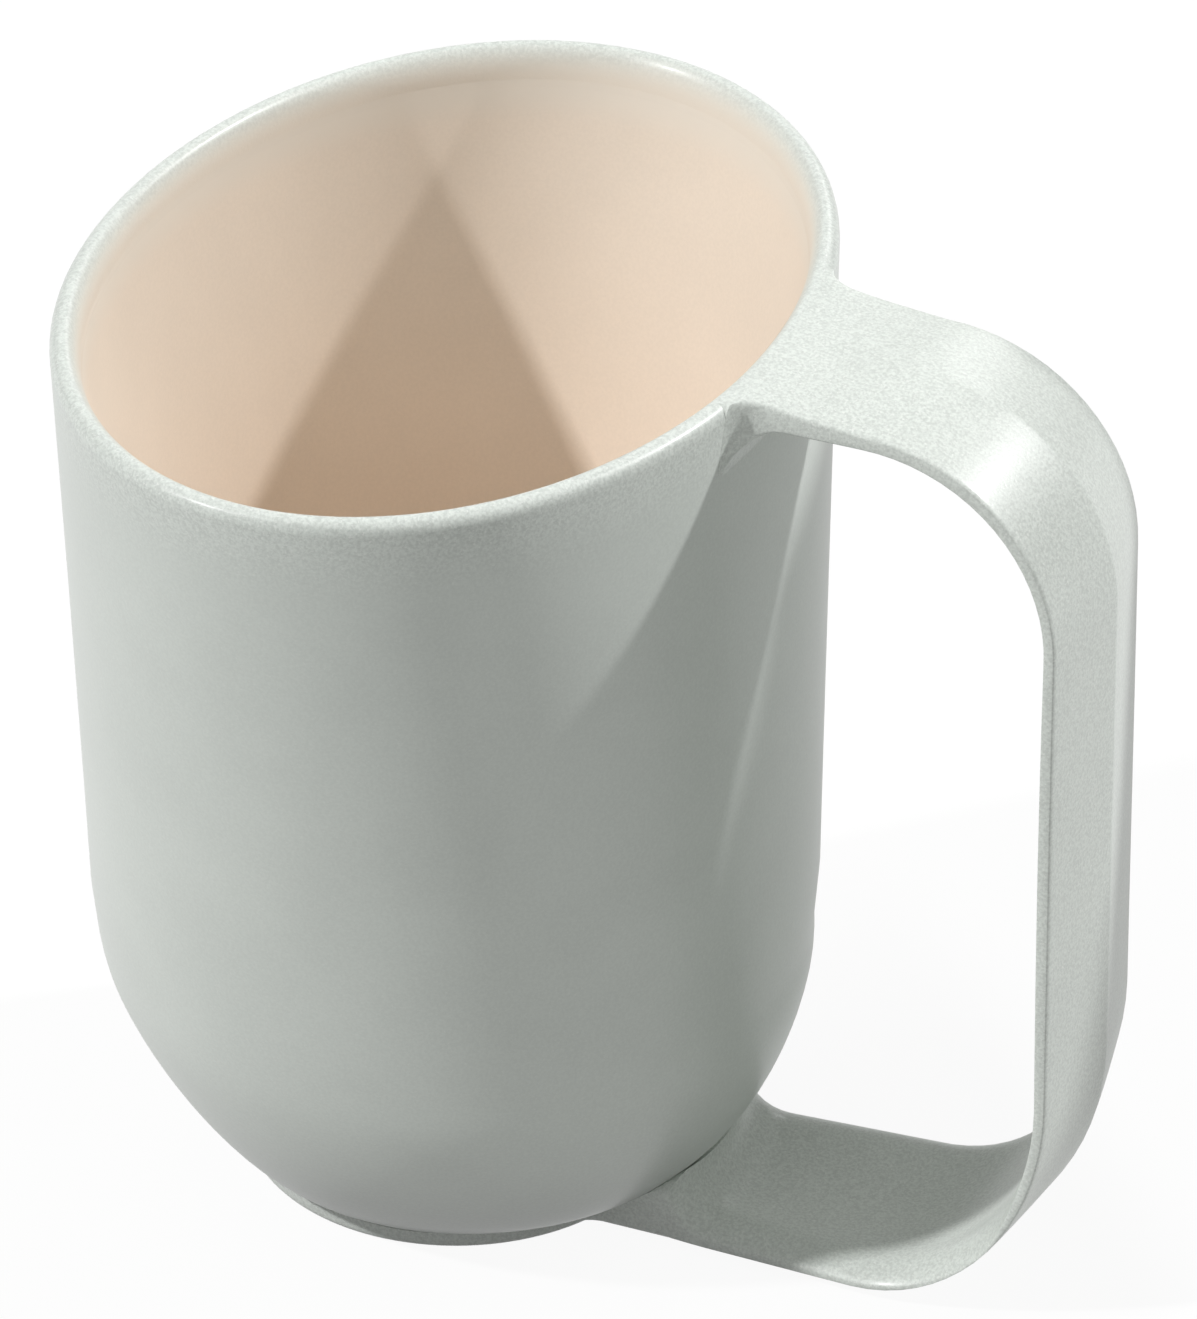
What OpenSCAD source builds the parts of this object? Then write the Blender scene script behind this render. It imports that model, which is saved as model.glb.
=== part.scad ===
// Insulated weighted cup.
// A double-wall cup whose round lower body opens into an oval mouth. Foam fills the space between the
// outer shell and the drinking well, a steel weight sits in the base, and a ribbon handle runs in one
// sweep from the lip to the foot that closes the base.
// Millimetres, +Z up. The cup stands on z = 0 about the Z axis and the handle points along +X.

/* [Cup] */
// Height from the table to the crest of the lip
height = 105; // [95:1:120]
// Mouth across the handle's line, along Y
mouth_length = 101; // [88:0.5:112]
// Mouth along the handle's line, along X
mouth_width = 74.2; // [68:0.1:82]
// Diameter of the round shoulder, where the wall turns into the dome below it
shoulder_d = 76; // [70:0.5:82]
// Height of the shoulder
shoulder_z = 28.6; // [25:0.1:34]
// Diameter where the dome meets the foot
base_d = 45; // [43:0.2:50]
// Fullness of the dome away from the handle: 1 is a straight cone, 2 a quarter ellipse
dome_power = 1.28; // [1.15:0.01:2]
// Fullness of the dome under the handle, where it swells towards the ribbon
dome_handle_power = 1.74; // [1.3:0.01:2.4]
// How late the wall opens into the oval: 1 is a straight loft
flare_power = 1; // [0.9:0.05:1.4]

/* [Walls] */
// Thickness of the outer shell
shell_t = 1.6; // [1.2:0.1:2]
// Thickness of the inner liner
liner_t = 1.3; // [1:0.1:1.8]
// Height of the rolled lip, down to the ledge that the liner hangs under
lip_h = 3.4; // [2.6:0.1:5]
// Height of the flange around the hole in the shell's base
flange_h = 4; // [3:0.5:6]
// Clearance between pieces that are bonded or packed together
fit_gap = 0.1; // [0.05:0.05:0.2]

/* [Well] */
// Height of the well's floor above the table
well_z = 28; // [25:1:36]
// Diameter of the flat on the well's floor
well_floor_d = 24; // [18:1:30]
// Diameter of the well where its rounded floor ends
well_bowl_d = 59; // [54:1:62]
// Height of the rounded floor
well_bowl_h = 18; // [12:1:24]
// Fullness of the rounded floor: 1 is a straight cone, 2 a quarter ellipse
well_power = 1.6; // [1.2:0.05:2]

/* [Insulation] */
// Depth below the lip at which the foam ends
foam_depth = 13; // [10:1:30]

/* [Weight] */
// Diameter of the steel weight
weight_d = 34.4; // [30:0.2:35]
// Height of the steel weight
weight_h = 20; // [14:0.5:22]
// Chamfer on the weight's edges
weight_chamfer = 1; // [0.4:0.1:2]

/* [Seals] */
// Height of the flat seal between the lip and the liner
rim_seal_h = 0.8; // [0.5:0.1:1.5]
// Cord diameter of the ring that seals the foot
ring_d = 1.6; // [1.2:0.1:1.8]
// Running clearance around the foot's spigot and the weight
slide_gap = 0.15; // [0.1:0.05:0.3]

/* [Foot] */
// Thickness of the foot disc
foot_h = 2; // [1.6:0.1:3]
// How far the foot stands out past the dome
foot_step = 0.3; // [0.2:0.1:1.5]
// Rounding of the foot's lower edge
foot_edge_r = 0.8; // [0.2:0.1:1.4]
// Wall of the spigot that plugs the shell's base
spigot_t = 2.4; // [2.2:0.1:2.6]
// Plan fillet between the foot and the handle
foot_fillet = 3; // [2:0.5:8]

/* [Handle] */
// Reach of the grip from the cup's axis, at the top bend
reach_top = 71.2; // [64:0.2:80]
// Reach of the grip at the bottom bend
reach_foot = 72; // [64:0.2:80]
// Ribbon width at the lip
ribbon_top_w = 24.6; // [16:0.2:28]
// Ribbon width half-way up the grip
ribbon_mid_w = 25.8; // [15:0.2:30]
// Ribbon width at the bottom bend
ribbon_low_w = 26.4; // [18:0.2:30]
// Ribbon width at the foot
ribbon_foot_w = 23.6; // [18:0.2:30]
// Ribbon thickness at the lip
ribbon_top_t = 3; // [2.6:0.1:5]
// Ribbon thickness half-way up the grip
ribbon_mid_t = 3.5; // [2.6:0.1:5]
// Ribbon thickness at the foot
ribbon_foot_t = 2.9; // [2.6:0.1:5]
// Height of the ridge along the middle of the grip's outer face
ridge_h = 2.1; // [0.5:0.1:2.2]
// Height of the ridge at the start of the top bend
ridge_top_h = 1.4; // [0:0.1:1.8]
// Height of the ridge at the end of the bottom bend
ridge_low_h = 0.8; // [0:0.1:1.8]
// Rounding of the ribbon's long edges
ribbon_edge_r = 1.2; // [0.6:0.1:1.2]
// Radius of the top bend
top_bend_r = 22.8; // [14:0.1:26]
// Reach of the bottom bend along X
low_bend_x = 22.4; // [14:0.2:30]
// Height of the bottom bend
low_bend_z = 28; // [16:0.2:40]
// Fillet where the ribbon grows out of the wall below the lip
root_fillet = 3.4; // [2:0.2:7]
// Fillet where the ribbon meets the dome
scoop_fillet = 4.4; // [1.5:0.1:5]
// Drop of the ribbon's top face below the crest of the lip
ribbon_drop = 0.4; // [0.2:0.1:1.5]
// Clearance of the ribbon above the table
ribbon_lift = 0.4; // [0.2:0.1:1]

/* [Hidden] */
$fn = 96;

// Points around each lofted ring, and steps along its curves
ring_points = 64;
dome_steps = 8;
wall_steps = 4;
lip_steps = 8;
bend_steps = 10;
edge_steps = 3;
fillet_steps = 5;

// Sharpness of the ridge: 1 is a plain roof, 2 a smooth crown
ridge_power = 1.2;
// Places across the outer face where the ridge is drawn, as shares of the ribbon's half width
ridge_places = [0.5, 0, -0.5];
// Largest share of the ribbon's edge that its rounding takes
edge_share = 0.45;

// Share by which the shell's wall, measured level, grows from the shoulder to the base
dome_wall_growth = 0.5;

sage = [0.78, 0.81, 0.78];
cream = [0.88, 0.82, 0.75];
steel = [0.62, 0.63, 0.65];
foam = [0.95, 0.92, 0.80];
rubber = [0.35, 0.37, 0.37];

lip_t = shell_t + fit_gap + liner_t;
lip_r = lip_t / 2;
ledge_z = height - lip_h;
liner_top_z = ledge_z - rim_seal_h;
foam_top_z = height - foam_depth;
flange_top_z = foot_h + flange_h;
weight_top_z = foot_h + weight_h;
weight_r = weight_d / 2;
foot_r = base_d / 2 + foot_step;
spigot_in_r = weight_r + slide_gap;
spigot_r = spigot_in_r + spigot_t;
bore_r = spigot_r + slide_gap;
ring_r = ring_d / 2;
ring_centre_r = bore_r - ring_r - fit_gap / 2;
groove_r = ring_centre_r - ring_r - fit_gap / 2;
groove_half_h = ring_r + fit_gap;

// Semi-axis of a wall at height z: a superellipse of power p from r[0] at h[0] to r[1] at h[1], then a
// loft to r[2] at h[2]
function semi_axis(z, h, r, p) =
    z <= h[1]
        ? r[0] + (r[1] - r[0]) * pow(max(0, 1 - pow((h[1] - z) / (h[1] - h[0]), p)), 1 / p)
        : r[1] + (r[2] - r[1]) * pow((z - h[1]) / (h[2] - h[1]), flare_power);

// Heights that follow a dome's curve evenly, from h[0] up to h[1]
function dome_heights(h, p) =
    [for (k = [0:dome_steps]) h[1] - (h[1] - h[0]) * pow(cos(90 * k / dome_steps), 2 / p)];

// Heights of the wall above the dome, up to the given top
function wall_heights(h, top) = [for (k = [1:wall_steps]) h[1] + (top - h[1]) * k / wall_steps];

// Outer face of the cup, in the direction a around it: 0 is under the handle
cup_h = [foot_h, shoulder_z, height];
function cup_power(a) = dome_power + (dome_handle_power - dome_power) * pow(max(0, cos(a)), 2);
function cup_x(z, a = 0) = semi_axis(z, cup_h, [base_d, shoulder_d, mouth_width] / 2, cup_power(a));
function cup_y(z, a = 0) = semi_axis(z, cup_h, [base_d, shoulder_d, mouth_length] / 2, cup_power(a));

// Face of the drinking well, flush with the inside of the lip at the ledge
well_h = [well_z, well_z + well_bowl_h, ledge_z];
well_r = [well_floor_d, well_bowl_d] / 2;
function well_x(z) = semi_axis(z, well_h, concat(well_r, cup_x(ledge_z) - lip_t), well_power);
function well_y(z) = semi_axis(z, well_h, concat(well_r, cup_y(ledge_z) - lip_t), well_power);

// The liner's outer face lies one wall outside the well, and its floor one wall below
liner_h = [well_z - liner_t, well_h[1], ledge_z];
liner_r = [well_floor_d, well_bowl_d + 2 * liner_t] / 2;
function liner_x(z) = semi_axis(z, liner_h, concat(liner_r, well_x(ledge_z) + liner_t), well_power);
function liner_y(z) = semi_axis(z, liner_h, concat(liner_r, well_y(ledge_z) + liner_t), well_power);

// The shell's wall, measured level: it grows where the dome leans
function shell_wall(z) =
    shell_t * (1 + dome_wall_growth * max(0, shoulder_z - z) / (shoulder_z - foot_h));

// Directions of the points around a ring
ring_angles = [for (k = [0:ring_points - 1]) 360 * k / ring_points];
// Rings at height z: a plain oval, and the cup's outer face moved in by an inset
function oval(z, rx, ry) = [for (a = ring_angles) [rx * cos(a), ry * sin(a), z]];
function cup_ring(z, inset) =
    [for (a = ring_angles) [(cup_x(z, a) - inset) * cos(a), (cup_y(z, a) - inset) * sin(a), z]];
function well_ring(z) = oval(z, well_x(z), well_y(z));
function liner_ring(z, grow) = oval(z, liner_x(z) + grow, liner_y(z) + grow);
function round_ring(z, r) = oval(z, r, r);
function reversed(list) = [for (k = [len(list) - 1:-1:0]) list[k]];

// Skin over a list of rings, closed into a loop or capped at both ends
module skin(rings, loop = false) {
    n = len(rings);
    m = len(rings[0]);
    sides = [
        for (j = [0:n - (loop ? 1 : 2)], i = [0:m - 1])
            let (
                next_j = (j + 1) % n,
                next_i = (i + 1) % m,
                near = [j * m + i, j * m + next_i],
                far = [next_j * m + i, next_j * m + next_i]
            )
                each [[near[0], far[0], far[1]], [near[0], far[1], near[1]]]
    ];
    caps = loop ? [] : [[for (i = [0:m - 1]) i], [for (i = [m - 1:-1:0]) (n - 1) * m + i]];
    polyhedron(points = [for (ring = rings) each ring], faces = concat(sides, caps));
}

// Heights of the cup's outer face below the rolled lip
cup_heights = concat(dome_heights(cup_h, dome_power), wall_heights(cup_h, height - lip_r));

// Ring of the rolled lip at angle a: 0 is the outer face, 90 the crest, 180 the inner face
function lip_ring(a, grow = 0) =
    let (z = height - lip_r + lip_r * sin(a), out = (lip_r + grow) * cos(a) - lip_r)
        oval(z + grow * sin(a), cup_x(z) + out, cup_y(z) + out);

// Solid form of the cup's outside, grown by a clearance, that neighbouring pieces are cut to
module cup_form(grow) {
    skin(concat(
        [round_ring(foot_h - grow, base_d / 2 + grow)],
        [for (z = cup_heights) cup_ring(z, -grow)],
        [for (k = [1:lip_steps / 2]) lip_ring(180 * k / lip_steps, grow)]
    ));
}

// Outer shell: dome, oval wall, rolled lip with a ledge under it, and a flanged hole in the base
module outer_shell() {
    inner_heights = reversed([for (z = cup_heights) if (z > flange_top_z && z < ledge_z) z]);
    color(sage)
        skin(concat(
            [for (z = cup_heights) cup_ring(z, 0)],
            [for (k = [1:lip_steps]) lip_ring(180 * k / lip_steps)],
            [cup_ring(ledge_z, lip_t), cup_ring(ledge_z, shell_t)],
            [for (z = inner_heights) cup_ring(z, shell_wall(z))],
            [cup_ring(flange_top_z, shell_wall(flange_top_z))],
            [round_ring(flange_top_z, bore_r), round_ring(foot_h, bore_r)]
        ), loop = true);
}

// Inner liner: the cream drinking well, tapered to a round bowl
module inner_liner() {
    color(cream)
        skin(concat(
            [for (z = dome_heights(liner_h, well_power)) liner_ring(z, 0)],
            [for (z = wall_heights(liner_h, liner_top_z)) liner_ring(z, 0)],
            [for (z = reversed(wall_heights(well_h, liner_top_z))) well_ring(z)],
            [for (z = reversed(dome_heights(well_h, well_power))) well_ring(z)]
        ));
}

// Flat oval seal between the liner's edge and the ledge under the lip
module rim_seal() {
    color(cream)
        skin([
            cup_ring(liner_top_z, shell_t + fit_gap),
            cup_ring(ledge_z, shell_t + fit_gap),
            cup_ring(ledge_z, lip_t),
            cup_ring(liner_top_z, lip_t)
        ], loop = true);
}

// Foam that fills the space between the two walls and around the weight
module insulation() {
    foot_z = flange_top_z + fit_gap;
    core_r = weight_r + fit_gap;
    outside = concat([foot_z], [for (z = cup_heights) if (z > foot_z && z < foam_top_z) z], [foam_top_z]);
    inside = concat(
        [foot_z],
        [for (z = dome_heights(liner_h, well_power)) if (liner_x(z) > weight_r) z],
        [for (z = wall_heights(liner_h, foam_top_z)) z]
    );
    color(foam)
        skin(concat(
            [for (z = outside) cup_ring(z, shell_wall(z) + fit_gap)],
            [for (z = reversed(inside))
                oval(z, max(core_r, liner_x(z) + fit_gap), max(core_r, liner_y(z) + fit_gap))]
        ), loop = true);
}

// Steel weight standing on the foot inside its spigot
module base_weight() {
    c = weight_chamfer;
    color(steel)
        translate([0, 0, foot_h])
            rotate_extrude()
                polygon([
                    [0, 0], [weight_r - c, 0], [weight_r, c],
                    [weight_r, weight_h - c], [weight_r - c, weight_h], [0, weight_h]
                ]);
}

// Pad that holds the weight down under the liner's floor
module weight_pad() {
    color(rubber)
        translate([0, 0, weight_top_z])
            cylinder(r = weight_r, h = liner_h[0] - weight_top_z);
}

// Sealing ring in the groove of the foot's spigot
module base_seal() {
    color(rubber)
        translate([0, 0, foot_h + flange_h / 2])
            rotate_extrude()
                translate([ring_centre_r, 0])
                    circle(r = ring_r, $fn = 32);
}

ribbon_top_z = height - ribbon_drop;
scoop_x = cup_x(ribbon_lift + ribbon_foot_t + scoop_fillet);
root_x = mouth_width / 2;

// Growth of a concave fillet of radius r at distance d from the wall
function fillet(d, r) = d >= r ? 0 : r - sqrt(r * r - pow(r - max(d, 0), 2));
// Distances from the wall that space a fillet's arc evenly
function fillet_steps_of(r) = [for (k = [0:fillet_steps]) r * (1 - cos(90 * k / fillet_steps))];

// Size of the ribbon at height z, from its sizes at the lip, half-way and at the bottom bend
function waisted(z, lip, mid, low) =
    let (s = 2 * (z - ribbon_lift) / (ribbon_top_z - ribbon_lift) - 1)
        mid + ((s > 0 ? lip : low) - mid) * s * s;
function ribbon_half_w(z) = waisted(z, ribbon_top_w, ribbon_mid_w, ribbon_low_w) / 2;
function ribbon_t(z) = waisted(z, ribbon_top_t, ribbon_mid_t, ribbon_foot_t);

// Section of the ribbon: across it along Y, and down from the ridge of its outer face, which falls to the
// rounded edges; grow adds to the rounding of the inner face's edges
function ribbon_section(half_w, t, ridge, grow) =
    let (edge_r = min(ribbon_edge_r, edge_share * (t - grow - ridge)))
        concat(
            [for (k = [0:3], j = [0:edge_steps])
                let (
                    a = 90 - 90 * k - 90 * j / edge_steps,
                    outer = k == 0 || k == 3,
                    e = outer ? edge_r : edge_r + grow,
                    side = k < 2 ? 1 : -1
                )
                    [-side * (half_w - e) - e * cos(a), (outer ? ridge + e : t - e) - e * sin(a)]],
            [for (s = ridge_places) [s * half_w, ridge * pow(abs(s), ridge_power)]]
        );

// How far a wall of semi-axes a and b falls back from its nearest point at y
function fall_back(y, a, b) = a * (1 - sqrt(1 - pow(y / b, 2)));

// Ring of the ribbon at p on its ridge, with outward normal n; near a wall it bows to follow it
function ribbon_ring(p, n, half_w, t, ridge, grow = 0, bow = 0, a = 1, b = 1) =
    [for (s = ribbon_section(half_w, t, ridge, grow))
        [p[0] - n[0] * s[1] - (bow > 0 ? bow * fall_back(s[0], a, b) : 0), s[0], p[1] - n[1] * s[1]]];

// Ring on the top run, at distance d from the lip
function root_ring(d) =
    let (grow = fillet(d, root_fillet), bow = 1 - max(0, d) / (reach_top - top_bend_r - root_x))
        ribbon_ring([root_x + d, ribbon_top_z], [0, 1], ribbon_top_w / 2 + grow, ribbon_top_t + grow,
                    ridge_top_h * (1 - bow), grow, bow, mouth_width / 2, mouth_length / 2);

// Ring on the bottom run, at x
function foot_ring(x) =
    let (
        near = min(1, 1 - (x - scoop_x) / (reach_foot - low_bend_x - scoop_x)),
        half_w = (ribbon_low_w + (ribbon_foot_w - ribbon_low_w) * near) / 2
    )
        ribbon_ring([x, ribbon_lift], [0, -1], half_w,
                    ribbon_foot_t + fillet(x - scoop_x, scoop_fillet), ridge_low_h * (1 - near), 0, near,
                    scoop_x, scoop_x);

// Ring on a bend of semi-axes rx and rz about c, at angle a
function bend_ring(c, rx, rz, a) =
    let (
        p = [c[0] + rx * cos(a), c[1] + rz * sin(a)],
        n = [cos(a) / rx, sin(a) / rz] / norm([cos(a) / rx, sin(a) / rz]),
        end_h = a > 0 ? ridge_top_h : ridge_low_h
    )
        ribbon_ring(p, n, ribbon_half_w(p[1]), ribbon_t(p[1]), end_h + (ridge_h - end_h) * n[0] * n[0]);

// The ribbon: out from the lip, round the top bend, down the grip, round the bottom bend and in to the foot
module ribbon() {
    top_c = [reach_top - top_bend_r, ribbon_top_z - top_bend_r];
    low_c = [reach_foot - low_bend_x, ribbon_lift + low_bend_z];
    skin(concat(
        [root_ring(-lip_r)],
        [for (d = fillet_steps_of(root_fillet)) root_ring(d)],
        [for (k = [0:bend_steps]) bend_ring(top_c, top_bend_r, top_bend_r, 90 - 90 * k / bend_steps)],
        [for (k = [0:bend_steps]) bend_ring(low_c, low_bend_x, low_bend_z, -90 * k / bend_steps)],
        [for (d = reversed(fillet_steps_of(scoop_fillet))) foot_ring(scoop_x + d)],
        [foot_ring(base_d / 2), foot_ring(base_d / 4)]
    ));
}

// Foot disc with the spigot that plugs the shell, grooved for the sealing ring
module foot() {
    mid_z = foot_h + flange_h / 2;
    rotate_extrude()
        polygon([
            [0, 0],
            for (k = [0:edge_steps])
                let (a = 90 * k / edge_steps)
                    [foot_r - foot_edge_r * (1 - sin(a)), foot_edge_r * (1 - cos(a))],
            [foot_r, foot_h],
            [spigot_r, foot_h], [spigot_r, mid_z - groove_half_h],
            [groove_r, mid_z - groove_half_h], [groove_r, mid_z + groove_half_h],
            [spigot_r, mid_z + groove_half_h], [spigot_r, flange_top_z],
            [spigot_in_r, flange_top_z], [spigot_in_r, foot_h], [0, foot_h]
        ]);
}

// Webs that fillet the ribbon's edges into the round of the foot
module foot_webs() {
    edge_y = ribbon_foot_w / 2 - ribbon_edge_r;
    centre_y = edge_y + foot_fillet;
    centre_x = sqrt(pow(foot_r + foot_fillet, 2) - pow(centre_y, 2));
    touch = [centre_x, centre_y] * foot_r / (foot_r + foot_fillet);
    for (side = [-1, 1])
        translate([0, 0, ribbon_lift])
            linear_extrude(foot_h - ribbon_lift)
                difference() {
                    polygon([[0, 0], [centre_x, 0], [centre_x, side * edge_y], [touch[0], side * touch[1]]]);
                    translate([centre_x, side * centre_y])
                        circle(r = foot_fillet);
                }
}

// Handle: one moulding of ribbon and foot, cut to sit against the shell
module handle() {
    color(sage) {
        difference() {
            ribbon();
            cup_form(fit_gap);
        }
        foot();
        foot_webs();
    }
}

outer_shell();
inner_liner();
rim_seal();
insulation();
base_weight();
weight_pad();
base_seal();
handle();
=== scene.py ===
"""Insulated weighted cup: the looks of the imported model, laid out as an add-on.

The two walls, the seal between them and the handle are modelled anew as smooth pieces in the places of
their solids. The pieces inside keep their solids. Each piece gets the finish of its own material.
"""

import math
from collections import namedtuple

import bmesh
import bpy
from bpy.props import FloatProperty, FloatVectorProperty, PointerProperty
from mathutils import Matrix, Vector


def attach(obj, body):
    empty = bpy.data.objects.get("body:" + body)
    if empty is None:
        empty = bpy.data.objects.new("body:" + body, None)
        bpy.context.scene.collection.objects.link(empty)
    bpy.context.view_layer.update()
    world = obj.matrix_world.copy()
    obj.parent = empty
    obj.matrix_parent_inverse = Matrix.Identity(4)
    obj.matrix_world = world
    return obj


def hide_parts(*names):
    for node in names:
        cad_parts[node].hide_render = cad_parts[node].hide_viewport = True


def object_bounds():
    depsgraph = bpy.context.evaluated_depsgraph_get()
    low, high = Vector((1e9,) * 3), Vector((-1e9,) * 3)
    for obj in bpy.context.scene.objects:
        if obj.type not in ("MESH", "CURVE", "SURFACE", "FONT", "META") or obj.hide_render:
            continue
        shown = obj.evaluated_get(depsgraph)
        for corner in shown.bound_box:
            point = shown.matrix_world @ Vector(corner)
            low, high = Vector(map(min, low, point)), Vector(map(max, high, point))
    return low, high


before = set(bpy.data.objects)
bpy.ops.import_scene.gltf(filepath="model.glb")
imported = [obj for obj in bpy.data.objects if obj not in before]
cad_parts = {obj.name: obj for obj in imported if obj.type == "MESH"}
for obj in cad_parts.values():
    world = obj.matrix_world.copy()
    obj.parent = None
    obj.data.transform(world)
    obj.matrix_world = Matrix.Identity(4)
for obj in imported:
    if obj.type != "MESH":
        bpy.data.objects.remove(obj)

bl_info = {
    "name": "Insulated weighted cup",
    "version": (1, 0, 0),
    "blender": (4, 5, 0),
    "location": "3D View > Sidebar > Cup",
    "description": "Models the walls and handle of the cup and gives every piece its finish",
    "category": "Add Mesh",
}

MM = 0.001
CAD_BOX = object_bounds()
BODY = "root"

# How finely the pieces are divided.
RING_POINTS = 128
DOME_STEPS = 22
WALL_STEPS = 12
LIP_STEPS = 16
BEND_STEPS = 18
FILLET_STEPS = 7
UNDER_STEPS = 26
FOOT_EDGE_STEPS = 6
RIBBON_CUTS = 23
RIDGE_SEGMENTS = 4
EDGE_SEGMENTS = 5
SHOULDER_SAMPLES = 4
HEIGHT_HALVINGS = 30

# What counts as a crease, as a double and as the same place.
CREASE_ANGLE = math.radians(40)
DOUBLES = 0.001 * MM
TINY = 0.01 * MM

# Fine forms of the ribbon and of the shoulder.
LIP_FLUSH = 0.004 * MM
ROOT_BLEND = 2.0 * MM
RIDGE_POWER = 1.12
CROWN_POWER = 2.0
RIDGE_ONSET = 12
SHOULDER_SOFT = 6.0 * MM
SHOULDER_REACH = 14.0 * MM
SOFT_START = 0.72
DISH_SHARE = 0.45

# The range that noise mostly keeps to, and depths below the lip where a finish changes: the pale near the
# lip, and the painted shade that warms the well towards its floor.
NOISE_LOW = 0.3
NOISE_HIGH = 0.7
GRAIN_FADE = 10 * MM
PALE_DEPTH = 4 * MM
PAINTED_SHADE_START = 8 * MM
PAINTED_SHADE_END = 46 * MM

Ring = namedtuple("Ring", "z x y")
Station = namedtuple("Station", "x z turn half_w t ridge power soft flare")


def length(name, mm, description):
    """A length whose default is given in millimetres."""
    return FloatProperty(
        name=name, description=description, default=mm * MM, min=0.0, precision=4, unit="LENGTH"
    )


def number(name, default, description):
    """A plain number."""
    return FloatProperty(name=name, description=description, default=default)


def angle(name, degrees, description):
    """An angle whose default is given in degrees."""
    return FloatProperty(
        name=name, description=description, default=math.radians(degrees), subtype="ANGLE"
    )


def colour(name, rgb, description):
    """A colour in linear red, green and blue."""
    return FloatVectorProperty(
        name=name, description=description, default=rgb, size=3, min=0.0, max=1.0, subtype="COLOR"
    )


class CupSizes(bpy.types.PropertyGroup):
    """Sizes of the shell and the liner."""

    height: length("Height", CAD_BOX[1].z / MM, "Height of the lip's crest above the table")
    mouth_length: length("Mouth length", 101.0, "Length of the oval mouth, across the handle")
    mouth_width: length("Mouth width", 74.2, "Width of the oval mouth, in line with the handle")
    shoulder_d: length("Shoulder diameter", 76.0, "Diameter where the dome ends and the wall begins")
    shoulder_z: length("Shoulder height", 28.6, "Height where the dome ends")
    base_d: length("Base diameter", 45.0, "Diameter of the dome where it meets the foot")
    dome_power: number(
        "Dome fullness", 1.28, "Fullness of the dome away from the handle: 2 is an ellipse"
    )
    dome_handle_power: number(
        "Dome fullness at the handle", 1.74, "Fullness of the dome under the handle"
    )
    shell_t: length("Shell wall", 1.6, "Thickness of the shell's wall")
    dome_wall_growth: number("Dome wall growth", 0.5, "Share by which the wall grows down to the base")
    lip_t: length("Lip thickness", 3.0, "Thickness of the rolled lip")
    lip_h: length("Lip height", 3.4, "Height of the lip down to the ledge under it")
    flange_h: length("Flange height", 4.0, "Height of the flange around the hole in the base")
    bore_d: length("Bore", 39.8, "Diameter of the hole in the base")
    seal_h: length("Seal height", 0.8, "Height of the seal between the ledge and the liner")
    well_z: length("Well floor height", 28.0, "Height of the drinking well's floor")
    well_floor_d: length("Well floor diameter", 24.0, "Diameter of the well's flat floor")
    well_bowl_d: length("Well bowl diameter", 59.0, "Diameter of the well where its bowl ends")
    well_bowl_h: length("Well bowl height", 18.0, "Height of the well's bowl")
    well_power: number("Well fullness", 1.6, "Fullness of the well's bowl: 2 is an ellipse")
    liner_t: length("Liner wall", 1.3, "Thickness of the liner's wall")


class HandleSizes(bpy.types.PropertyGroup):
    """Sizes of the ribbon handle and of the foot."""

    reach_top: length("Reach at the top", 71.2, "Reach of the grip from the cup's axis at the top bend")
    reach_foot: length("Reach at the bottom", CAD_BOX[1].x / MM, "Reach of the grip at the bottom bend")
    top_w: length("Width at the lip", 24.6, "Width of the ribbon at the lip")
    mid_w: length("Width of the grip", 25.8, "Width of the ribbon half-way down the grip")
    low_w: length("Width at the bottom bend", 26.4, "Width of the ribbon at the bottom bend")
    foot_w: length("Width at the foot", 23.6, "Width of the ribbon where it meets the foot")
    top_t: length("Thickness at the lip", 3.0, "Thickness of the ribbon at the lip")
    mid_t: length("Thickness of the grip", 3.5, "Thickness of the ribbon half-way down the grip")
    foot_t: length("Thickness at the foot", 2.9, "Thickness of the ribbon at the foot")
    ridge_h: length("Ridge", 2.1, "Height of the ridge along the middle of the grip's outer face")
    ridge_top_h: length("Ridge at the top", 1.4, "Height of the ridge at the start of the top bend")
    ridge_low_h: length("Ridge at the bottom", 0.8, "Height of the ridge at the end of the bottom bend")
    edge_r: length("Edge rounding", 0.5, "Rounding of the ribbon's long edges")
    soft_edge: length("Soft edge", 1.4, "Fall of the inner face to its edges along the bottom run")
    top_bend_r: length("Top bend", 22.8, "Radius of the top bend")
    low_bend_x: length("Bottom bend reach", 22.4, "Reach of the bottom bend towards the cup")
    low_bend_z: length("Bottom bend height", 28.0, "Height of the bottom bend")
    drop: length("Drop", 0.4, "Drop of the ribbon's top below the lip's crest")
    lift: length("Lift", 0.4, "Clearance of the ribbon above the table")
    root_fillet: length("Root fillet", 4.0, "Fillet where the ribbon's inner face grows out of the wall")
    root_top_fillet: length(
        "Root top fillet", 2.4, "Plan fillet between the ribbon's outer face and the lip"
    )
    scoop_fillet: length("Scoop fillet", 4.4, "Fillet where the ribbon meets the dome")
    foot_fillet: length("Foot fillet", 3.0, "Plan fillet between the ribbon and the foot")
    foot_step: length("Foot step", 0.3, "How far the foot stands out past the dome")
    foot_h: length("Foot thickness", 2.0, "Thickness of the foot disc")
    foot_edge_r: length("Foot edge", 0.8, "Rounding of the foot's lower edge")
    spigot_t: length("Spigot wall", 2.4, "Wall of the spigot that plugs the shell's base")
    slide_gap: length("Spigot clearance", 0.15, "Clearance around the spigot")
    groove_h: length("Groove height", 1.8, "Height of the groove for the sealing ring")
    groove_depth: length("Groove depth", 1.55, "Depth of the groove for the sealing ring")


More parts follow.
